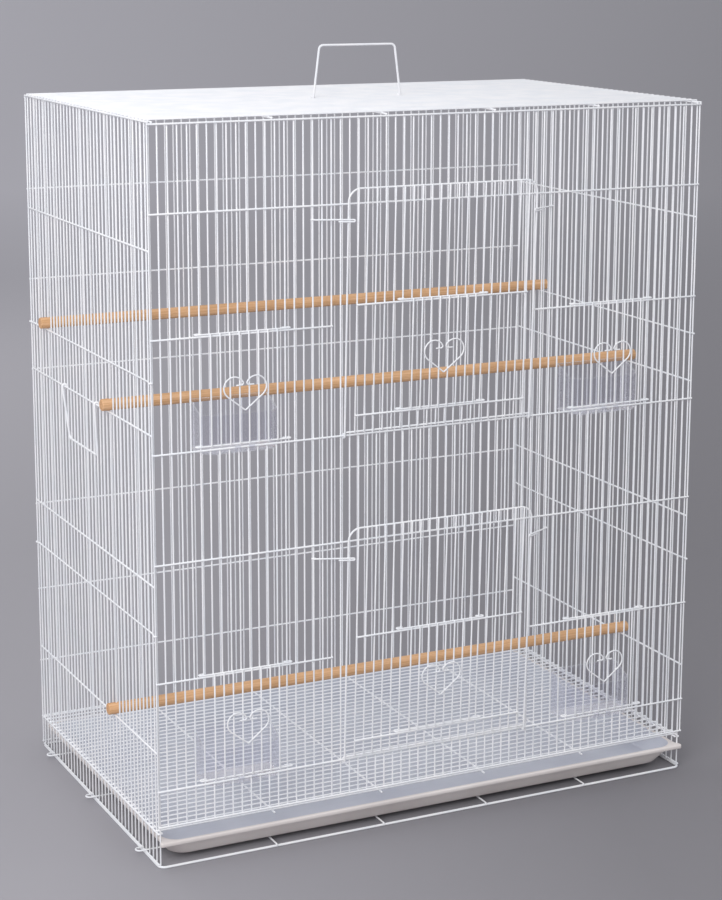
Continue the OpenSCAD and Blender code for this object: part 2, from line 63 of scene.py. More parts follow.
eye = bpy.data.cameras.new("camera")
eye.sensor_fit = "VERTICAL"
eye.sensor_height = sensor
eye.lens = focal_px / photo_h * sensor
eye.shift_x = (photo_w / 2 - centre_px[0]) / photo_h
eye.shift_y = (centre_px[1] - photo_h / 2) / photo_h
eye.clip_end = far_enough
camera = bpy.data.objects.new("camera", eye)
scene.collection.objects.link(camera)
camera.matrix_world = (
    Matrix.Translation(camera_place)
    @ Matrix.Rotation(yaw, 4, "Z")
    @ Matrix.Rotation(pitch, 4, "X")
    @ Matrix.Rotation(roll, 4, "Y")
    @ Matrix.Rotation(math.pi / 2, 4, "X")
)
scene.camera = camera
scene.view_settings.view_transform = "Standard"


# ---------------------------------------------------------------------------------------------
# Studio. A grey paper floor, darkened to the right by painted shade, runs out to the horizon under
# an even grey sky, and broad soft lamps stand to the left, to the right, overhead and behind.
def linear(hex_code, alpha=1.0):
    """An sRGB hex colour as linear RGBA."""
    shares = [int(hex_code[i:i + 2], 16) / 255 for i in (1, 3, 5)]
    return [c / 12.92 if c <= 0.04045 else ((c + 0.055) / 1.055) ** 2.4 for c in shares] + [alpha]


def add(tree, kind, inputs=None, **settings):
    """Adds a node. inputs maps sockets to values or outputs, and settings are its properties."""
    node = tree.nodes.new(kind)
    for key, value in settings.items():
        setattr(node, key, value)
    for key, value in (inputs or {}).items():
        if isinstance(value, bpy.types.NodeSocket):
            tree.links.new(value, node.inputs[key])
        else:
            node.inputs[key].default_value = value
    return node


def new_object(name, mesh, material=None):
    thing = bpy.data.objects.new(name, mesh)
    scene.collection.objects.link(thing)
    if material:
        mesh.materials.append(material)
    return thing


def clean_material(name):
    """A material with nothing in it but its output, and that output."""
    material = bpy.data.materials.new(name)
    material.use_nodes = True
    material.node_tree.nodes.clear()
    return material, material.node_tree, material.node_tree.nodes.new("ShaderNodeOutputMaterial")


backdrop_grey = "#A6A4A9"
paper_near, paper_far = "#9B999E", "#C2C0C6"
# The grade towards the right is painted shade, where the lamps' light falls off.
near, far, painted_shade_way = 1.2, 7.0, (0.895, -0.446, 0)
grade_end, brightest, dimmest = 0.18, 1.12, 0.72

# The paper's colour is graded: paler in the distance, and darker to the right as painted shade
# where the lamps' light falls off.
paper, tree, out = clean_material("matt_background_paper_with_painted_shade")
place = add(tree, "ShaderNodeTexCoord").outputs["Object"]
length = add(tree, "ShaderNodeVectorMath", {0: place}, operation="LENGTH").outputs["Value"]
distance = add(tree, "ShaderNodeMapRange", {"Value": length, "From Min": near, "From Max": far})
tone = add(tree, "ShaderNodeMix", {
    0: distance.outputs[0], 6: linear(paper_near), 7: linear(paper_far)}, data_type="RGBA")
rightward = add(tree, "ShaderNodeVectorMath", {0: place, 1: painted_shade_way}, operation="DOT_PRODUCT")
reach = add(tree, "ShaderNodeMath", {0: length, 1: 1.5}, operation="ADD")
share = add(tree, "ShaderNodeMath", {0: rightward.outputs["Value"], 1: reach.outputs[0]},
            operation="DIVIDE")
# Painted shade: this factor dims the paper towards the right.
dim = add(tree, "ShaderNodeMapRange", {
    "Value": share.outputs[0], "From Min": -grade_end, "From Max": grade_end,
    "To Min": brightest, "To Max": dimmest})
graded = add(tree, "ShaderNodeVectorMath", {0: tone.outputs[2], "Scale": dim.outputs[0]},
             operation="SCALE")
shader = add(tree, "ShaderNodeBsdfPrincipled", {
    "Base Color": graded.outputs[0], "Roughness": 0.9, "Specular IOR Level": 0.2})
tree.links.new(shader.outputs["BSDF"], out.inputs["Surface"])
floor_half, floor_drop = 60, 0.2 * mm
bm = bmesh.new()
bmesh.ops.create_grid(bm, x_segments=8, y_segments=8, size=floor_half)
bmesh.ops.translate(bm, verts=bm.verts, vec=(0, 0, -floor_drop))
floor_mesh = bpy.data.meshes.new("floor")
bm.to_mesh(floor_mesh)
bm.free()
new_object("floor", floor_mesh, paper)

world = bpy.data.worlds.new("studio")
scene.world = world
world.use_nodes = True
world.node_tree.nodes.clear()
seen = add(world.node_tree, "ShaderNodeLightPath")
sky = add(world.node_tree, "ShaderNodeBackground", {"Color": linear("#EDEEF2"), "Strength": 0.7})
wall = add(world.node_tree, "ShaderNodeBackground", {"Color": linear(backdrop_grey)})
mix = add(world.node_tree, "ShaderNodeMixShader", {
    0: seen.outputs["Is Camera Ray"], 1: sky.outputs[0], 2: wall.outputs[0]})
out = world.node_tree.nodes.new("ShaderNodeOutputWorld")
world.node_tree.links.new(mix.outputs[0], out.inputs["Surface"])

lit_at = Vector((0, 0, 0.45))
lamps = (
    # name, place, size, watts
    ("key", (-2.3, -2.2, 1.9), 1.8, 66),
    ("fill", (2.8, -2.2, 1.6), 2.2, 12),
    ("top", (-0.4, 0.3, 3.0), 2.4, 8),
    ("back", (-0.6, 3.2, 2.0), 2.0, 14),
)
for name, place, size, watts in lamps:
    lamp = bpy.data.lights.new(name, "AREA")
    lamp.shape = "SQUARE"
    lamp.size = size
    lamp.energy = watts
    holder = bpy.data.objects.new(name, lamp)
    scene.collection.objects.link(holder)
    holder.location = place
    aim = lit_at - Vector(place)
    holder.rotation_euler = aim.to_track_quat("-Z", "Y").to_euler()


# ---------------------------------------------------------------------------------------------
# Wire. Mild steel wire is cut, bent, spot welded into panels and then powder coated white as a
# whole: the coat rounds off the cut ends and pools in a small fillet round every weld.
def powder_coat():
    """White polyester powder coat: a semi-gloss film with a faint orange peel of about 1 mm."""
    material, tree, out = clean_material("white_polyester_powder_coat")
    place = add(tree, "ShaderNodeTexCoord").outputs["Object"]
    # The film is thicker in some stretches of wire, over some 35 mm, and a shade cooler there.
    film = add(tree, "ShaderNodeTexNoise", {"Vector": place, "Scale": 1 / (35 * mm), "Detail": 2.0})
    tint = add(tree, "ShaderNodeValToRGB", {"Fac": film.outputs["Fac"]})
    tint.color_ramp.elements[0].position = 0.35
    tint.color_ramp.elements[0].color = linear("#EEF0F4")
    tint.color_ramp.elements[1].position = 0.65
    tint.color_ramp.elements[1].color = linear("#F6F6F8")
    peel = add(tree, "ShaderNodeTexNoise", {
        "Vector": place, "Scale": 1 / (1.1 * mm), "Detail": 1.0})
    bump = add(tree, "ShaderNodeBump", {
        "Strength": 0.35, "Distance": 0.03 * mm, "Height": peel.outputs["Fac"]})
    gloss = add(tree, "ShaderNodeMapRange", {
        "Value": film.outputs["Fac"], "From Min": 0.3, "From Max": 0.7,
        "To Min": 0.28, "To Max": 0.4})
    shader = add(tree, "ShaderNodeBsdfPrincipled", {
        "Base Color": tint.outputs["Color"], "Roughness": gloss.outputs["Result"],
        "Normal": bump.outputs["Normal"], "IOR": 1.5})
    tree.links.new(shader.outputs["BSDF"], out.inputs["Surface"])
    return material


coat = powder_coat()
wire_sides = 12

# The tree turns centre lines into round wires, and lone points into weld fillets.
wire_tree = bpy.data.node_groups.new("coated_wire", "GeometryNodeTree")
for name, kind in (("Centre lines", "Geometry"), ("Sides", "Int"), ("Coat", "Material")):
    wire_tree.interface.new_socket(name, in_out="INPUT", socket_type="NodeSocket" + kind)
wire_tree.interface.new_socket("Wires", in_out="OUTPUT", socket_type="NodeSocketGeometry")
given = wire_tree.nodes.new("NodeGroupInput").outputs
radius = add(wire_tree, "GeometryNodeInputNamedAttribute", {"Name": "radius_here"},
             data_type="FLOAT")
is_weld = add(wire_tree, "GeometryNodeInputNamedAttribute", {"Name": "is_weld"},
              data_type="BOOLEAN")
spread = add(wire_tree, "GeometryNodeInputNamedAttribute", {"Name": "weld_size"},
             data_type="FLOAT_VECTOR")
lines = add(wire_tree, "GeometryNodeMeshToCurve", {"Mesh": given["Centre lines"]})
ring = add(wire_tree, "GeometryNodeCurvePrimitiveCircle", {
    "Resolution": given["Sides"], "Radius": 1.0})
rods = add(wire_tree, "GeometryNodeCurveToMesh", {
    "Curve": lines.outputs[0], "Profile Curve": ring.outputs[0],
    "Scale": radius.outputs["Attribute"], "Fill Caps": True})
bead = add(wire_tree, "GeometryNodeMeshUVSphere", {"Segments": 8, "Rings": 5, "Radius": 1.0})
beads = add(wire_tree, "GeometryNodeInstanceOnPoints", {
    "Points": given["Centre lines"], "Selection": is_weld.outputs["Attribute"],
    "Instance": bead.outputs["Mesh"], "Scale": spread.outputs["Attribute"]})
joined = wire_tree.nodes.new("GeometryNodeJoinGeometry")
wire_tree.links.new(rods.outputs["Mesh"], joined.inputs[0])
wire_tree.links.new(beads.outputs["Instances"], joined.inputs[0])
real = add(wire_tree, "GeometryNodeRealizeInstances", {"Geometry": joined.outputs[0]})
smooth = add(wire_tree, "GeometryNodeSetShadeSmooth", {"Geometry": real.outputs[0]})
coated = add(wire_tree, "GeometryNodeSetMaterial", {
    "Geometry": smooth.outputs[0], "Material": given["Coat"]})
wire_tree.links.new(coated.outputs[0], wire_tree.nodes.new("NodeGroupOutput").inputs["Wires"])
socket_of = {item.name: item.identifier for item in wire_tree.interface.items_tree}

X, Y, Z = Vector((1, 0, 0)), Vector((0, 1, 0)), Vector((0, 0, 1))


def arc(centre, radius, start, end, u, v, steps=8):
    """Points on an arc from angle start to end, in degrees, in the plane of u and v."""
    turns = [math.radians(start + (end - start) * i / steps) for i in range(steps + 1)]
    return [Vector(centre) + radius * (math.cos(a) * u + math.sin(a) * v) for a in turns]


def domed(points, radius):
    """Points and radii of an open wire whose coated ends are rounded off."""
    dome_h = 0.7 * radius
    start, end = [], []
    for inset, share in ((0, 0.3), (0.2, 0.62), (0.55, 0.9), (1, 1)):
        first = points[0] + (points[1] - points[0]).normalized() * inset * dome_h
        last = points[-1] + (points[-2] - points[-1]).normalized() * inset * dome_h
        start.append((first, radius * share))
        end.insert(0, (last, radius * share))
    return start + [(p, radius) for p in points[1:-1]] + end


def finish_wires(name, body, nodes, wires, welds, place=Matrix.Identity(4)):
    """One mesh of wires on a body. A wire is (points, diameter) and a weld is (point, size)."""
    corners, edges, radii = [], [], []
    for points, diameter in wires:
        first = len(corners)
        for point, radius in domed(points, diameter / 2):
            corners.append(place @ point)
            radii.append(radius)
        edges += [(i, i + 1) for i in range(first, len(corners) - 1)]
    wired = len(corners)
    corners += [place @ point for point, size in welds]
    mesh = bpy.data.meshes.new(name)
    mesh.from_pydata(corners, edges, [])
    mesh.attributes.new("radius_here", "FLOAT", "POINT").data.foreach_set(
        "value", radii + [0.0] * len(welds))
    mesh.attributes.new("is_weld", "BOOLEAN", "POINT").data.foreach_set(
        "value", [i >= wired for i in range(len(corners))])
    sizes = [0.0] * (3 * wired)
    for point, size in welds:
        sizes += list(size)
    mesh.attributes.new("weld_size", "FLOAT_VECTOR", "POINT").data.foreach_set("vector", sizes)
    thing = new_object(name, mesh)
    maker = thing.modifiers.new("wire", "NODES")
    maker.node_group = wire_tree
    maker[socket_of["Sides"]] = wire_sides
    maker[socket_of["Coat"]] = coat
    ready = thing.evaluated_get(bpy.context.evaluated_depsgraph_get())
    made = bpy.data.meshes.new_from_object(ready)
    thing.modifiers.clear()
    thing.data = made
    made.name = name
    bpy.data.meshes.remove(mesh)
    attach(thing, body)
    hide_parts(*nodes)
    return thing


def boxes_of(node, place=Matrix.Identity(4)):
    """Lowest and highest corner of each separate wire of a CAD node, seen from place."""
    bm = bmesh.new()
    bm.from_mesh(frame["nodes"][node].data)
    bmesh.ops.remove_doubles(bm, verts=bm.verts, dist=0.001 * mm)
    bm.transform(place.inverted())
    # Wires are taken in the order of their corners, so that each run gives the same mesh.
    boxes, reached = [], set()
    for start in bm.verts:
        if start in reached:
            continue
        reached.add(start)
        growing, low, high = [start], start.co.copy(), start.co.copy()
        while growing:
            corner = growing.pop()
            low = Vector(map(min, low, corner.co))
            high = Vector(map(max, high, corner.co))
            for edge in corner.link_edges:
                other = edge.other_vert(corner)
                if other not in reached:
                    reached.add(other)
                    growing.append(other)
        boxes.append((low, high))
    bm.free()
    return boxes


def sort_wires(node, place=Matrix.Identity(4)):
    """The straight wires of a CAD node as (points, diameter), and the boxes of its bent ones."""
    same = 0.05 * mm
    straight, bent = [], []
    for low, high in boxes_of(node, place):
        size = high - low
        along = max(range(3), key=lambda i: size[i])
        across = [size[i] for i in range(3) if i != along]
        if abs(across[0] - across[1]) < same and size[along] > 2 * across[0]:
            middle = (low + high) / 2
            start, end = middle.copy(), middle.copy()
            start[along], end[along] = low[along], high[along]
            straight.append(([start, end], max(across)))
        else:
            bent.append((low, high))
    return straight, bent


def stretches(wires):
    """Straight lengths along an axis, as (wire's number, axis, start, end, radius)."""
    shortest, straying = 6 * mm, 0.01 * mm
    found = []
    for number, (points, diameter) in enumerate(wires):
        for a, b in zip(points, points[1:]):
            step = b - a
            along = max(range(3), key=lambda i: abs(step[i]))
            if abs(step[along]) > shortest and step.length - abs(step[along]) < straying:
                low, high = sorted((a, b), key=lambda p: p[along])
                found.append((number, along, low, high, diameter / 2))
    return found


def welds_between(wires):
    """A fillet where two wires cross and touch, as (number of the first wire, point, size)."""
    touch, fillet, overlap = 0.12 * mm, 0.55 * mm, 0.4 * mm
    bead = 0.95
    found, every = [], stretches(wires)
    for n, (first, i, low_a, high_a, radius_a) in enumerate(every):
        for second, j, low_b, high_b, radius_b in every[n + 1:]:
            if i == j or first == second:
                continue
            k = 3 - i - j
            gap = low_b[k] - low_a[k]
            if abs(abs(gap) - radius_a - radius_b) > touch:
                continue
            if not low_a[i] - overlap < low_b[i] < high_a[i] + overlap:
                continue
            if not low_b[j] - overlap < low_a[j] < high_b[j] + overlap:
                continue
            point, size = Vector(), Vector()
            point[i], point[j] = low_b[i], low_a[j]
            point[k] = (low_a[k] + low_b[k] + (radius_a - radius_b) * math.copysign(1, gap)) / 2
            size[i], size[j], size[k] = bead * radius_b, bead * radius_a, fillet
            found.append((first, point, size))
    return found


# ---------------------------------------------------------------------------------------------
# Panels. Upright bars are welded behind full-width crossbars, the side panels' crossbars are
# hooked round the corner bars, and the roof and the floor grille are flat grids.
panels = {}
# The CAD model has a hairline of air where wires are welded.
hairline = 0.04 * mm
hook_leg, hook_from, hook_to = 9 * mm, 180, 20
for node in ("front_panel", "back_panel", "left_panel", "right_panel", "top_panel", "floor_grille"):
    panels[node], bent = sort_wires(node)
    side = math.copysign(1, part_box(node)[0].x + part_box(node)[1].x)
    for low, high in bent:
        # A hooked crossbar bends out a little before the corner bar and turns round it.
        wire_d = high.z - low.z
        corner_x, corner_d = max((abs(points[0].x), d) for points, d in panels["front_panel"]
                                 if abs(points[0].x - points[1].x) < mm)
        hook_r = (wire_d + corner_d) / 2 + hairline
        corner_y = high.y - hook_r - wire_d / 2
        rail_x = max(abs(points[0].x) for points, d in panels[node]
                     if abs(points[0].x - points[1].x) < mm)
        corner = Vector((-corner_x, corner_y, (low.z + high.z) / 2))
        half = [Vector((-rail_x, corner_y - hook_leg, corner.z))]
        half += arc(corner, hook_r, hook_from, hook_to, X, Y)
        whole = [Vector((p.x, -p.y, p.z)) for p in reversed(half)] + half
        panels[node].append(([Vector((-side * p.x, p.y, p.z)) for p in whole], wire_d))

# ---------------------------------------------------------------------------------------------
# Base. A ring of thicker wire with bent corners stands on the floor. Four wires from front to
# back lie on it, curled down in front, and three cross wires end in hairpins past the sides.
straight, bent = sort_wires("base_frame")
ring_d = max(d for points, d in straight)
ring_x = max(points[0].x for points, d in straight)
ring_y = max(points[0].y for points, d in straight)
ring_z, ring_bend, bend_steps = ring_d / 2, 8 * mm, 8
loop = []
for i, (sx, sy) in enumerate(((1, 1), (-1, 1), (-1, -1), (1, -1))):
    turn = Vector((sx * (ring_x - ring_bend), sy * (ring_y - ring_bend), ring_z))
    loop += arc(turn, ring_bend, 90 * i, 90 * i + 90, X, Y, bend_steps)
# The ring's two ends meet in a butt weld in the middle of its back.
middle_back = Vector((0, ring_y, ring_z))
loop = [middle_back] + loop[bend_steps + 1:] + loop[:bend_steps + 1] + [middle_back]
base_wires = [(loop, ring_d)]
for low, high in bent:
    if high.y - low.y > high.x - low.x:
        wire_d = high.x - low.x
        x, z = (low.x + high.x) / 2, high.z - wire_d / 2
        curl = arc((x, -ring_y, ring_z), z - ring_z, 0, 90, Z, -Y, 6)
        base_wires.append(([Vector((x, high.y, z))] + curl, wire_d))
    elif high.x - low.x > ring_x:
        wire_d = high.z - low.z
        y, z, r = (low.y + high.y) / 2, (low.z + high.z) / 2, (high.y - low.y - wire_d) / 2
        x = high.x - r - wire_d / 2
        path = [Vector((-ring_x, y + r, z))] + arc((-x, y, z), r, 90, 270, X, Y)
        path += arc((x, y, z), r, -90, 90, X, Y) + [Vector((ring_x, y + r, z))]
        base_wires.append((path, wire_d))
panels["base_frame"] = base_wires

every_wire = [(node, wire) for node in panels for wire in panels[node]]
cage_welds = {node: [] for node in panels}
for number, point, size in welds_between([wire for node, wire in every_wire]):
    cage_welds[every_wire[number][0]].append((point, size))
for node in panels:
    finish_wires(node + "_wires", "cage", [node], panels[node], cage_welds[node])


# ---------------------------------------------------------------------------------------------
# Big doors. One wire makes the two eyes round the sill crossbar, the legs and the round-cornered
# top; bars and two crossbars are welded on its front. A closed door leans out on its hooks.
def eye_turn(centre, radius, back):
    """Points that come round a crossbar from behind and leave upwards on its front side."""
    points = [Vector((centre.x, centre.y + radius * math.cos(math.radians(a)),
                      centre.z + radius * math.sin(math.radians(a)))) for a in range(450, 179, -15)]
    return list(reversed(points)) if back else points


joints = {joint["name"]: joint for joint in frame["joints"]}
door_bend, rod_end = 16 * mm, 7 * mm


def heart_of(node, place):
    """Centre line of a wire heart, from its box: a point below, two lobes and two inward curls."""
    low, high = boxes_of(node, place)[0]
    wire_r = (high.y - low.y) / 2
    width, height, tip_r = 55 * mm, 41 * mm, 1.2 * mm
    foot = Vector(((low.x + high.x) / 2, (low.y + high.y) / 2, high.z - wire_r - height))
    lobe_r = width / 4 - wire_r / 2
    lobe = Vector((width / 4 + wire_r / 2, 0, height - lobe_r))
    curl_r, curl_at = 2.5 * mm, 150
    to_curl = math.radians(curl_at)
    curl = lobe + (lobe_r - curl_r) * (math.cos(to_curl) * X + math.sin(to_curl) * Z)
    start = math.degrees(math.atan2(lobe.z, lobe.x) - math.asin(lobe_r / lobe.length)) - 90
    half = arc(lobe, lobe_r, start, curl_at, X, Z, 18)
    half += arc(curl, curl_r, curl_at + 15, 270, X, Z, 7) + [curl + Vector((width / 8, 0, -curl_r))]
    tip = arc((0, 0, tip_r), tip_r, -140, -40, X, Z, 4)
    whole = [Vector((-p.x, p.y, p.z)) for p in reversed(half)] + tip + half
    return [p + foot for p in whole], 2 * wire_r


def heart_welds(heart, slats):
    """Fillets where a heart crosses the upright slats behind it."""
    points, diameter = heart
    fillet = Vector((0.9 * mm, 0.5 * mm, 0.9 * mm))
    found = []
    for slat, slat_d in slats:
        for a, b in zip(points, points[1:]):
            if (a.x - slat[0].x) * (b.x - slat[0].x) < 0:
                share = (slat[0].x - a.x) / (b.x - a.x)
                middle_y = (a.y + diameter / 2 + slat[0].y - slat_d / 2) / 2
                at = Vector((slat[0].x, middle_y, a.z + (b.z - a.z) * share))
                found.append((at, fillet))
    return found


def hairpin_rods(boxes):
    """Rods that slide on two guide bars, with both ends turned back behind the bars."""
    rods = []
    for low, high in boxes:
        wire_d = high.z - low.z
        r, z = (high.y - low.y - wire_d) / 2, (low.z + high.z) / 2
        y, x0, x1 = (low.y + high.y) / 2, low.x + r + wire_d / 2, high.x - r - wire_d / 2
        path = [Vector((x0 + rod_end, y + r, z))] + arc((x0, y, z), r, 90, 270, X, Y)
        path += arc((x1, y, z), r, -90, 90, X, Y) + [Vector((x1 - rod_end, y + r, z))]
        rods.append((path, wire_d))
    return rods


def shutter(name, body, node, heart_node, place):
    """A sliding shutter: slats welded on two hairpin rods, and a heart on the slats."""
    slats, bent = sort_wires(node, place)
    rods = hairpin_rods(bent)
    heart = heart_of(heart_node, place)
    welds = [(point, size) for number, point, size in welds_between(slats + rods)]
    finish_wires(name + "_wires", body, [node], slats + rods, welds, place)
    welds = heart_welds(heart, slats)
    finish_wires(name + "_heart_wire", body, [heart_node], [heart], welds, place)


for storey in ("lower", "upper"):
    hinge = Vector(joints[storey + "_door_hinge"]["pos_m"])
    rise = joints[storey + "_hatch_slide"]["axis"]
    lean = math.atan2(-rise[1], rise[2])
    place = Matrix.Translation(hinge) @ Matrix.Rotation(lean, 4, "X")
    straight, bent = sort_wires(storey + "_door", place)
    rail_d = max(d for points, d in straight)
    low = Vector([min(box[0][i] for box in bent) for i in range(3)])
    high = Vector([max(box[1][i] for box in bent) for i in range(3)])
    left, right = low.x + rail_d / 2, high.x - rail_d / 2
    eye_r = -low.z - rail_d / 2
    top = high.z - rail_d / 2
    # The CAD model's legs and top rail are straights and bends; here they are one bent wire.
    inner = [wire for wire in straight
             if not (abs(wire[0][0].x - wire[0][1].x) < mm
                     and min(abs(wire[0][0].x - left), abs(wire[0][0].x - right)) < mm)
             and not (abs(wire[0][0].z - top) < mm and abs(wire[0][1].z - top) < mm)]
    path = eye_turn(Vector((left, 0, 0)), eye_r, False)
    path += arc((left + door_bend, -eye_r, top - door_bend), door_bend, 180, 90, X, Z)
    path += arc((right - door_bend, -eye_r, top - door_bend), door_bend, 90, 0, X, Z)
    path += eye_turn(Vector((right, 0, 0)), eye_r, True)
    wires = inner + [(path, rail_d)]
    welds = [(point, size) for number, point, size in welds_between(wires)]
    # The lowest crossbar's ends are welded to the legs, close over the eyes.
    for points, diameter in inner:
        if points[0].z < 6 * mm and abs(points[0].z - points[1].z) < mm:
            welds += [(end.copy(), Vector((1.2 * mm, 0.9 * mm, 1.2 * mm))) for end in points]
    finish_wires(storey + "_door_wires", storey + "_door", [storey + "_door"], wires, welds, place)
    shutter(storey + "_hatch", storey + "_hatch", storey + "_hatch", storey + "_hatch_heart", place)
    for side in ("left", "right"):
        name = f"{storey}_{side}_feeder_door"
        shutter(name, name, name, f"{storey}_{side}_heart", Matrix.Identity(4))

# ---------------------------------------------------------------------------------------------
# Latches. Each is a wire bent into an eye round a bar of the panel, an arm that reaches across
# the door's leg, and a hairpin that a finger pushes.
eye_slack = 0.08 * mm
for storey in ("lower", "upper"):
    for side in ("left", "right"):
        name = f"{storey}_{side}_latch"
        pivot = Vector(joints[name + "_hinge"]["pos_m"])
        far = [v.co - pivot for v in frame["nodes"][name].data.vertices]
        reach = max(p.to_2d().length for p in far)
        # The arm's middle stretch shows which way the latch points.
        tip = [p for p in far if 0.45 * reach < p.to_2d().length < 0.75 * reach]
        tip = sum(tip, Vector()) / len(tip)
        low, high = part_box(name)
        bar_d = 2 * (high.z - pivot.z)
        eye_r = bar_d + eye_slack
        hairpin_r, hairpin = (high.z - low.z - bar_d) / 4, 20 * mm
        mirror = 1 if side == "left" else -1
        swing = math.atan2(tip.y, mirror * tip.x) + math.asin(eye_r / tip.to_2d().length)
        arm = math.sqrt(reach ** 2 - (eye_r + bar_d / 2) ** 2) - hairpin_r - bar_d / 2
        path = arc((0, 0, 0), eye_r, 0, 270, X, Y, 16)
        path += arc((arm, -eye_r, -hairpin_r), hairpin_r, 90, -90, X, Z)
        path += [Vector((arm + hairpin_r - hairpin, -eye_r, -2 * hairpin_r))]
        place = Matrix.Translation(pivot) @ Matrix.Diagonal((mirror, 1, 1, 1))
        place = place @ Matrix.Rotation(swing, 4, "Z")
        finish_wires(name + "_wire", name, [name], [(path, bar_d)], [], place)

# ---------------------------------------------------------------------------------------------
# Carrying handles. A bail of thicker wire, with an eye at each foot: one stands on the roof, and
# its twin hangs on the left panel.
grip_d, height, draw, bend = 3 * mm, 68 * mm, 8 * mm, 6 * mm
for name in ("top_handle", "side_handle"):
    pivot = Vector(joints[name + "_hinge"]["pos_m"])
    axis = Vector(joints[name + "_hinge"]["axis"])
    low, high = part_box(name)
    half = ((high - low).dot(axis) - grip_d) / 2
    if name == "top_handle":
        eye_r = pivot.y - low.y - grip_d / 2
        place = Matrix.Translation(pivot)
    else:
        eye_r = pivot.x - low.x - grip_d / 2
        tilt = -math.asin((high.x - grip_d / 2 - (pivot.x - eye_r)) / height)
        place = Matrix.Translation(pivot) @ Matrix.Rotation(tilt, 4, "Y")
        place = place @ Matrix.Rotation(math.pi / 2, 4, "Z") @ Matrix.Rotation(math.pi, 4, "X")
    path = eye_turn(Vector((-half, 0, 0)), eye_r, False)
    path += arc((-half + draw + bend, -eye_r, height - bend), bend, 180, 90, X, Z)
    path += arc((half - draw - bend, -eye_r, height - bend), bend, 90, 0, X, Z)
    path += eye_turn(Vector((half, 0, 0)), eye_r, True)
    finish_wires(name + "_wire", name, [name], [(path, grip_d)], [], place)


# ---------------------------------------------------------------------------------------------
# Perches. Raw turned hardwood dowels, 15 mm thick: the ends are chamfered and sawn with a slot
# that straddles a bar of each side panel.
def perch_wood():
    """Unfinished ramin: straight pale tan grain with short dark pores, dry and matt."""
    material, tree, out = clean_material("raw_turned_ramin_dowel")
    place = add(tree, "ShaderNodeTexCoord").outputs["Object"]
    # Grain lines are about 1.2 mm apart round the dowel and run some 90 mm along it.
    stretch = add(tree, "ShaderNodeMapping", {
        "Vector": place, "Scale": (1 / (90 * mm), 1 / (1.2 * mm), 1 / (1.2 * mm))})
    grain = add(tree, "ShaderNodeTexNoise", {
        "Vector": stretch.outputs[0], "Scale": 1.0, "Detail": 4.0, "Roughness": 0.6})
    tone = add(tree, "ShaderNodeTexNoise", {"Vector": place, "Scale": 1 / (60 * mm), "Detail": 2.0})
    # Pores are flecks about 0.5 mm wide and 6 mm long.
    fleck = add(tree, "ShaderNodeMapping", {
        "Vector": place, "Scale": (1 / (6 * mm), 1 / (0.5 * mm), 1 / (0.5 * mm))})
    pores = add(tree, "ShaderNodeTexVoronoi", {"Vector": fleck.outputs[0], "Scale": 0.7})
    ramp = add(tree, "ShaderNodeValToRGB", {"Fac": grain.outputs["Fac"]})
    for element, where, colour in zip(ramp.color_ramp.elements, (0.3, 0.7), ("#C99868", "#EDC096")):
        element.position = where
        element.color = linear(colour)
    shade = add(tree, "ShaderNodeMapRange", {
        "Value": tone.outputs["Fac"], "From Min": 0.3, "From Max": 0.7,
        "To Min": 0.9, "To Max": 1.06})
    pore_dark = add(tree, "ShaderNodeMapRange", {
        "Value": pores.outputs["Distance"], "From Min": 0.05, "From Max": 0.22,
        "To Min": 0.72, "To Max": 1.0})
    both = add(tree, "ShaderNodeMath", {0: shade.outputs[0], 1: pore_dark.outputs[0]},
               operation="MULTIPLY")
    dark = add(tree, "ShaderNodeVectorMath", {
        0: ramp.outputs["Color"], "Scale": both.outputs[0]}, operation="SCALE")
    bump = add(tree, "ShaderNodeBump", {
        "Strength": 0.5, "Distance": 0.15 * mm, "Height": grain.outputs["Fac"]})
    shader = add(tree, "ShaderNodeBsdfPrincipled", {
        "Base Color": dark.outputs[0], "Roughness": 0.62, "Normal": bump.outputs["Normal"],
        "IOR": 1.45})
    tree.links.new(shader.outputs["BSDF"], out.inputs["Surface"])
    return material


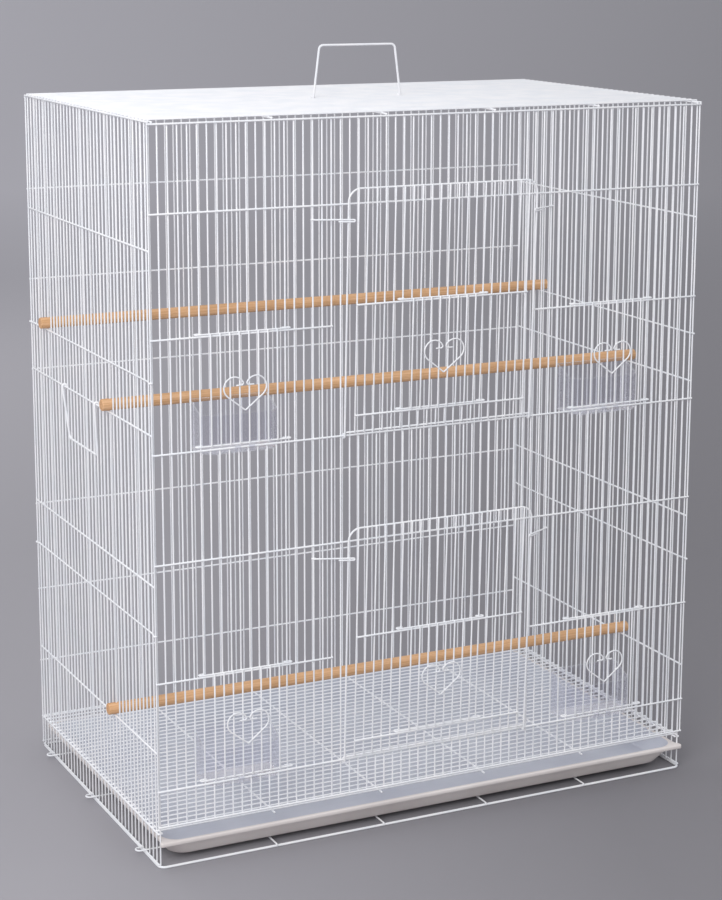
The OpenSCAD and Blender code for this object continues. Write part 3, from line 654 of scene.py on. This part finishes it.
wood = perch_wood()
chamfer, turned_sides, turned_rings = 0.9 * mm, 40, 48
waver, waver_run, saw_l = 0.04 * mm, 23 * mm, 40 * mm
for node in ("perch_lower", "perch_middle", "perch_upper"):
    low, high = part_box(node)
    middle, radius, length = (low + high) / 2, (high.z - low.z) / 2, high.x - low.x
    # The lathe leaves the dowel a few hundredths thicker and thinner along its length.
    rings = [(0, radius - chamfer), (chamfer, radius - waver)]
    for i in range(1, turned_rings):
        along = length * i / turned_rings
        rings.append((along, radius - waver * (1 + math.sin(along / waver_run))))
    rings += [(length - chamfer, radius - waver), (length, radius - chamfer)]
    bm = bmesh.new()
    previous = None
    for along, r in rings:
        ring = [bm.verts.new(
            (low.x + along, middle.y + r * math.cos(2 * math.pi * k / turned_sides),
             middle.z + r * math.sin(2 * math.pi * k / turned_sides))) for k in range(turned_sides)]
        if previous is None:
            bm.faces.new(ring)
        else:
            for k in range(turned_sides):
                after = (k + 1) % turned_sides
                bm.faces.new((previous[k], previous[after], ring[after], ring[k]))
        previous = ring
    bm.faces.new(list(reversed(previous)))
    bmesh.ops.recalc_face_normals(bm, faces=bm.faces)
    mesh = bpy.data.meshes.new(node + "_dowel")
    bm.to_mesh(mesh)
    bm.free()
    dowel = new_object(node + "_dowel", mesh, wood)
    # The slots are cut as deep as in the CAD model, whose inner end is read from its corners.
    corners = [v.co for v in frame["nodes"][node].data.vertices]
    inner_x = min(p.x for p in corners if p.x > 0 and abs(p.y - middle.y) < 2 * mm)
    slot_w = 2 * min(abs(p.y - middle.y) for p in corners
                     if p.x > inner_x + mm and abs(p.z - middle.z) > radius * 0.9)
    cutter_bm = bmesh.new()
    for sign in (-1, 1):
        bmesh.ops.create_cube(cutter_bm, size=1, matrix=Matrix.Translation(
            (sign * (inner_x + saw_l / 2), middle.y, middle.z))
            @ Matrix.Diagonal((saw_l, slot_w, 4 * radius, 1)))
    cutter_mesh = bpy.data.meshes.new("saw")
    cutter_bm.to_mesh(cutter_mesh)
    cutter_bm.free()
    saw = new_object("saw", cutter_mesh)
    cut = dowel.modifiers.new("slot", "BOOLEAN")
    cut.object, cut.operation, cut.solver = saw, "DIFFERENCE", "EXACT"
    ready = dowel.evaluated_get(bpy.context.evaluated_depsgraph_get())
    made = bpy.data.meshes.new_from_object(ready)
    dowel.modifiers.clear()
    dowel.data = made
    bpy.data.objects.remove(saw)
    for face in made.polygons:
        face.use_smooth = True
    made.set_sharp_from_angle(angle=math.radians(35))
    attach(dowel, "cage")
    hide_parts(node)


# ---------------------------------------------------------------------------------------------
# Tray. Warm white polystyrene sheet formed in one piece: a wide flat rim with a rolled edge, and
# sloping walls with round corners down to a flat floor.
def tray_plastic(name, tones):
    """High-impact polystyrene between two tones: smooth, with a soft sheen and faint scuffs.
    Darker, bluer tones given for the inside are painted shade.
    """
    material, tree, out = clean_material(name)
    place = add(tree, "ShaderNodeTexCoord").outputs["Object"]
    cloud = add(tree, "ShaderNodeTexNoise", {
        "Vector": place, "Scale": 1 / (120 * mm), "Detail": 3.0})
    ramp = add(tree, "ShaderNodeValToRGB", {"Fac": cloud.outputs["Fac"]})
    for element, where, colour in zip(ramp.color_ramp.elements, (0.35, 0.65), tones):
        element.position = where
        element.color = linear(colour)
    # Scuffs from cleaning, drawn a few millimetres apart so that they show.
    drawn = add(tree, "ShaderNodeMapping", {
        "Vector": place, "Rotation": (0, 0, math.radians(17)),
        "Scale": (1 / (70 * mm), 1 / (3 * mm), 1 / (3 * mm))})
    scuffs = add(tree, "ShaderNodeTexNoise", {
        "Vector": drawn.outputs[0], "Scale": 1.0, "Detail": 3.0, "Roughness": 0.7})
    gloss = add(tree, "ShaderNodeMapRange", {
        "Value": scuffs.outputs["Fac"], "From Min": 0.35, "From Max": 0.7,
        "To Min": 0.3, "To Max": 0.46})
    bump = add(tree, "ShaderNodeBump", {
        "Strength": 0.2, "Distance": 0.06 * mm, "Height": scuffs.outputs["Fac"]})
    shader = add(tree, "ShaderNodeBsdfPrincipled", {
        "Base Color": ramp.outputs["Color"], "Roughness": gloss.outputs[0],
        "Normal": bump.outputs["Normal"], "IOR": 1.59})
    tree.links.new(shader.outputs["BSDF"], out.inputs["Surface"])
    return material


def rounded_outline(corners, radii, steps):
    """A closed outline with each corner of a polygon, turned anticlockwise, rounded by an arc."""
    points = []
    for i, (corner, r) in enumerate(zip(corners, radii)):
        before = (corners[i - 1] - corner).normalized()
        after = (corners[(i + 1) % len(corners)] - corner).normalized()
        turn = math.acos(max(-1, min(1, before.dot(after))))
        if turn > math.pi - 0.001:
            # No bend here: the same number of points, spread along the side.
            points += [corner + before * r * (1 - 2 * k / steps) for k in range(steps + 1)]
            continue
        back = r / math.tan(turn / 2)
        start, end = corner + before * back, corner + after * back
        inward = (before + after).normalized()
        centre = corner + inward * (r / math.sin(turn / 2))
        first, last = start - centre, end - centre
        sweep = first.angle_signed(last)
        for k in range(steps + 1):
            a = -sweep * k / steps
            points.append(centre + Matrix.Rotation(a, 2) @ first)
    return points


def lofted(name, loops, material):
    """A closed shell through loops of equal length; the first and the last are capped."""
    bm = bmesh.new()
    rows = [[bm.verts.new(p) for p in loop] for loop in loops]
    for lower, upper in zip(rows, rows[1:]):
        n = len(lower)
        for k in range(n):
            bm.faces.new((lower[k], lower[(k + 1) % n], upper[(k + 1) % n], upper[k]))
    bm.faces.new(list(reversed(rows[0])))
    bm.faces.new(rows[-1])
    bmesh.ops.recalc_face_normals(bm, faces=bm.faces)
    mesh = bpy.data.meshes.new(name)
    bm.to_mesh(mesh)
    bm.free()
    return new_object(name, mesh, material)


low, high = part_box("tray")
# Corners of the CAD tray's rim: the front strip is wider than the rest, which runs between posts.
rim_points = [v.co for v in frame["nodes"]["tray"].data.vertices if v.co.z > high.z - 0.1 * mm]
nose_x = high.x
rim_x = max(p.x for p in rim_points if p.y > low.y + 40 * mm)
step_y = max(p.y for p in rim_points if p.x > nose_x - 0.1 * mm)
wall_t, rim_h, corner_r, slope = 2 * mm, 5 * mm, 22 * mm, 15 * mm
wall_x, wall_front, wall_back = rim_x - 3 * mm, low.y + 4 * mm, high.y - 3 * mm


def tray_rim(inset, z):
    """The rim's outline, drawn in by inset: it steps in behind the front strip."""
    corners = [Vector(p) for p in (
        (-nose_x + inset, low.y + inset), (nose_x - inset, low.y + inset),
        (nose_x - inset, step_y - inset), (rim_x - inset, step_y - inset + 0.5 * mm),
        (rim_x - inset, high.y - inset), (-rim_x + inset, high.y - inset),
        (-rim_x + inset, step_y - inset + 0.5 * mm), (-nose_x + inset, step_y - inset))]
    radii = [3 * mm, 3 * mm, 1.5 * mm, 1.2 * mm, 5 * mm, 5 * mm, 1.2 * mm, 1.5 * mm]
    radii = [max(0.4 * mm, r - inset) for r in radii]
    return [Vector((p.x, p.y, z)) for p in rounded_outline(corners, radii, 6)]


def tray_wall(inset, z):
    """The wall's outline at a height, drawn in by inset, with round corners."""
    x, front, back, r = wall_x - inset, wall_front + inset, wall_back - inset, corner_r
    quarter = [math.radians(90 * k / 13) for k in range(14)]
    points = [(-x + r - r * math.cos(a), front + r - r * math.sin(a)) for a in quarter]
    points += [(x - r + r * math.sin(a), front + r - r * math.cos(a)) for a in quarter]
    points += [(x - r + r * math.cos(a), back - r + r * math.sin(a)) for a in quarter]
    points += [(-x + r - r * math.sin(a), back - r + r * math.cos(a)) for a in quarter]
    return [Vector((*p, z)) for p in points]


def matched(outline, spokes):
    """Where rays from the tray's middle at the given angles meet a convex-ish outline."""
    centre = Vector((0, (low.y + high.y) / 2))
    flat = [p.to_2d() - centre for p in outline]
    z = outline[0].z
    found = []
    for spoke in spokes:
        ray = Vector((math.cos(spoke), math.sin(spoke)))
        best = None
        for a, b in zip(flat, flat[1:] + flat[:1]):
            edge = b - a
            cross = ray.x * edge.y - ray.y * edge.x
            if abs(cross) < 1e-12:
                continue
            t = (a.x * edge.y - a.y * edge.x) / cross
            s = (a.x * ray.y - a.y * ray.x) / cross
            if t > 0 and -1e-9 <= s <= 1 + 1e-9:
                best = t if best is None else max(best, t)
        found.append(Vector((*(centre + ray * best), z)))
    return found


plastic = tray_plastic("formed_high_impact_polystyrene", ("#DAD2CF", "#E6DFDC"))
# Painted shade: the inside is given darker, bluer tones, for the shade under the grille and the
# bluish light from the sky.
painted_shade_plastic = tray_plastic("high_impact_polystyrene_with_painted_shade", ("#B9BCC8", "#C6C9D3"))
spokes = set()
centre_y = (low.y + high.y) / 2
for outline in (tray_rim(0, 0), tray_wall(0, 0), tray_wall(slope, 0)):
    for p in outline:
        spokes.add(round(math.atan2(p.y - centre_y, p.x), 5))
spokes = sorted(spokes)
spokes = [a for i, a in enumerate(spokes) if i == 0 or a - spokes[i - 1] > 0.0004]
top_z, floor_z, under_rim, edge_r = high.z, low.z, high.z - rim_h, 1.0 * mm
sections = [
    # Up the outside of the wall.
    (tray_wall, slope + 3 * mm, floor_z), (tray_wall, slope, floor_z + 0.8 * mm),
    (tray_wall, slope - 1.2 * mm, floor_z + 2.6 * mm),
    (tray_wall, 1.0 * mm, under_rim - 0.6 * mm), (tray_wall, 0.2 * mm, top_z - 3.2 * mm),
    # Out under the rim and round its rolled edge.
    (tray_rim, 2.2 * mm, top_z - 2.2 * mm), (tray_rim, 1.8 * mm, under_rim + 0.3 * mm),
    (tray_rim, 1.4 * mm, under_rim), (tray_rim, 0.5 * mm, under_rim),
    (tray_rim, 0.0, under_rim + 0.6 * mm), (tray_rim, 0.0, top_z - edge_r),
    (tray_rim, 0.3 * mm, top_z - 0.3 * mm), (tray_rim, edge_r, top_z),
    # Down the inside of the wall to the floor.
    (tray_wall, wall_t - 1.4 * mm, top_z), (tray_wall, wall_t, top_z - 0.4 * mm),
    (tray_wall, wall_t + 0.6 * mm, top_z - 1.6 * mm),
    (tray_wall, slope + wall_t - 1.6 * mm, floor_z + wall_t + 2.2 * mm),
    (tray_wall, slope + wall_t, floor_z + wall_t + 0.5 * mm),
    (tray_wall, slope + wall_t + 3 * mm, floor_z + wall_t),
]
tray = lofted("tray_shell", [matched(outline(inset, z), spokes) for outline, inset, z in sections],
              plastic)
tray.data.materials.append(painted_shade_plastic)
inner_from, inner_to = 14 * len(spokes), (len(sections) - 1) * len(spokes)
for face in tray.data.polygons:
    face.use_smooth = True
    # The inner faces run from the top of the wall down, and the floor is the last face: these take
    # the painted shade.
    inner = inner_from <= face.index < inner_to
    face.material_index = 1 if inner or face.index == len(tray.data.polygons) - 1 else 0
tray.data.set_sharp_from_angle(angle=math.radians(50))
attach(tray, "tray")
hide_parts("tray")


# ---------------------------------------------------------------------------------------------
# Cups. Clear styrene boxes with cut front corners and a sloping mouth, moulded in one piece with
# two tabs that hook over the sill crossbar.
def clear_styrene():
    """Clear polystyrene, 1.6 mm thick: wires behind it show, it glints, and a painted glow whitens
    its faces that turn upwards.
    """
    material, tree, out = clean_material("clear_moulded_polystyrene")
    upward = add(tree, "ShaderNodeSeparateXYZ", {
        0: tree.nodes.new("ShaderNodeNewGeometry").outputs["Normal"]})
    # Painted glow: faces that turn upwards are mixed towards a milky white, standing in for light
    # caught in the walls that comes out at their upper edges.
    painted_glow_share = add(tree, "ShaderNodeMapRange", {
        "Value": upward.outputs["Z"], "From Min": 0.5, "From Max": 0.95,
        "To Min": 0.02, "To Max": 0.5})
    painted_glow_white = add(tree, "ShaderNodeBsdfDiffuse", {"Color": linear("#ECEDF0")})
    through = add(tree, "ShaderNodeBsdfTransparent", {"Color": linear("#FBFBFD")})
    body = add(tree, "ShaderNodeMixShader", {
        0: painted_glow_share.outputs[0], 1: through.outputs["BSDF"], 2: painted_glow_white.outputs["BSDF"]})
    glint = add(tree, "ShaderNodeBsdfAnisotropic", {
        "Color": linear("#FFFFFF"), "Roughness": 0.08})
    edge = add(tree, "ShaderNodeFresnel", {"IOR": 1.5})
    # Seen along a thin wall, the second face lets part of the mirrored light back through.
    share = add(tree, "ShaderNodeMapRange", {
        "Value": edge.outputs[0], "From Min": 0.0, "From Max": 1.0, "To Min": 0.0, "To Max": 0.4})
    mix = add(tree, "ShaderNodeMixShader", {
        0: share.outputs[0], 1: body.outputs[0], 2: glint.outputs["BSDF"]})
    tree.links.new(mix.outputs[0], out.inputs["Surface"])
    return material


clear = clear_styrene()
tab_t, tab_w, tab_x, wall, chamfer, soft = 1.5 * mm, 7 * mm, 9 * mm, 1.6 * mm, 12 * mm, 0.5 * mm
for storey in ("lower", "upper"):
    for side in ("left", "right"):
        node = f"{storey}_{side}_cup"
        low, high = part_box(node)
        corners = [v.co for v in frame["nodes"][node].data.vertices]
        bottom = [p for p in corners if p.z < low.z + 0.1 * mm]
        front, back = min(p.y for p in bottom), high.y
        front_top = max(p.z for p in corners if abs(p.y - front) < 0.1 * mm)
        flat_y = back - 4 * mm
        slope_y = front + chamfer
        middle = (low.x + high.x) / 2

        def mouth(y):
            """Height of the cup's mouth, which slopes up from its front to its back."""
            share = max(0.0, min(1.0, (y - slope_y) / (flat_y - slope_y)))
            share = share * share * (3 - 2 * share) * 0.35 + share * 0.65
            return front_top + (high.z - front_top) * share

        def plan(inset):
            """The cup's outline seen from above, drawn in by inset."""
            half, half_y = (high.x - low.x) / 2 - inset, (slope_y + flat_y) / 2
            cut = chamfer - 0.59 * inset
            sides = [(half - cut, front + inset), (half, front + inset + cut),
                     (half, slope_y + 4 * mm), (half, half_y), (half, flat_y - mm),
                     (half, back - inset)]
            outline = [Vector(p) for p in sides]
            outline += [Vector((-p.x, p.y)) for p in reversed(outline)]
            radii = [3, 3, 0.5, 0.5, 0.5, 2.6]
            radii = [max(0.3, r - inset / mm * 0.9) * mm for r in radii + radii[::-1]]
            return [p + Vector((middle, 0)) for p in rounded_outline(outline, radii, 4)]

        def level(inset, rise, from_mouth=False):
            """A loop of the shell, at a height over the cup's foot or its mouth."""
            return [Vector((p.x, p.y, (mouth(p.y) if from_mouth else low.z) + rise))
                    for p in plan(inset)]

        loops = [
            # Up the outside, over the lip, and down the inside.
            level(3 * mm, 0), level(1.2 * mm, 0.25 * mm), level(soft, 0.9 * mm),
            level(0.3 * mm, 2.4 * mm), level(0.25 * mm, -5 * mm, True),
            level(0.25 * mm, -3.0 * mm, True), level(0, -2.6 * mm, True), level(0, -soft, True),
            level(0.3 * mm, 0, True), level(wall - 0.4 * mm, 0, True), level(wall, -soft, True),
            level(wall, -5 * mm, True), level(wall + 0.1 * mm, 3.4 * mm),
            level(wall + 0.9 * mm, 2.0 * mm), level(wall + 3 * mm, wall),
        ]
        cup = lofted(node + "_shell", loops, clear)
        # Tabs: two strips come forward over the crossbar and turn down in front of it.
        tab_top = [p for p in corners if p.y < front - mm]
        tab_z, tab_foot = max(p.z for p in tab_top), min(p.z for p in tab_top)
        profile = rounded_outline([Vector(p) for p in (
            (low.y, tab_foot), (low.y + tab_t, tab_foot), (low.y + tab_t, tab_z - tab_t),
            (front + wall / 2, tab_z - tab_t), (front + wall / 2, tab_z), (low.y, tab_z))],
            [soft, soft, soft, 0.2 * mm, 0.2 * mm, 1.4 * mm], 4)
        for x in (-tab_x, tab_x):
            loops = [[Vector((middle + x + dx, p.x, p.y)) for p in profile]
                     for dx in (-tab_w / 2, tab_w / 2)]
            tab = lofted("tab", loops, clear)
            merge = cup.modifiers.new("tab", "BOOLEAN")
            merge.object, merge.operation, merge.solver = tab, "UNION", "EXACT"
            ready = cup.evaluated_get(bpy.context.evaluated_depsgraph_get())
            made = bpy.data.meshes.new_from_object(ready)
            cup.modifiers.clear()
            cup.data = made
            bpy.data.objects.remove(tab)
        for face in cup.data.polygons:
            face.use_smooth = True
        cup.data.set_sharp_from_angle(angle=math.radians(32))
        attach(cup, "cage")
        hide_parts(node)

bpy.context.view_layer.update()
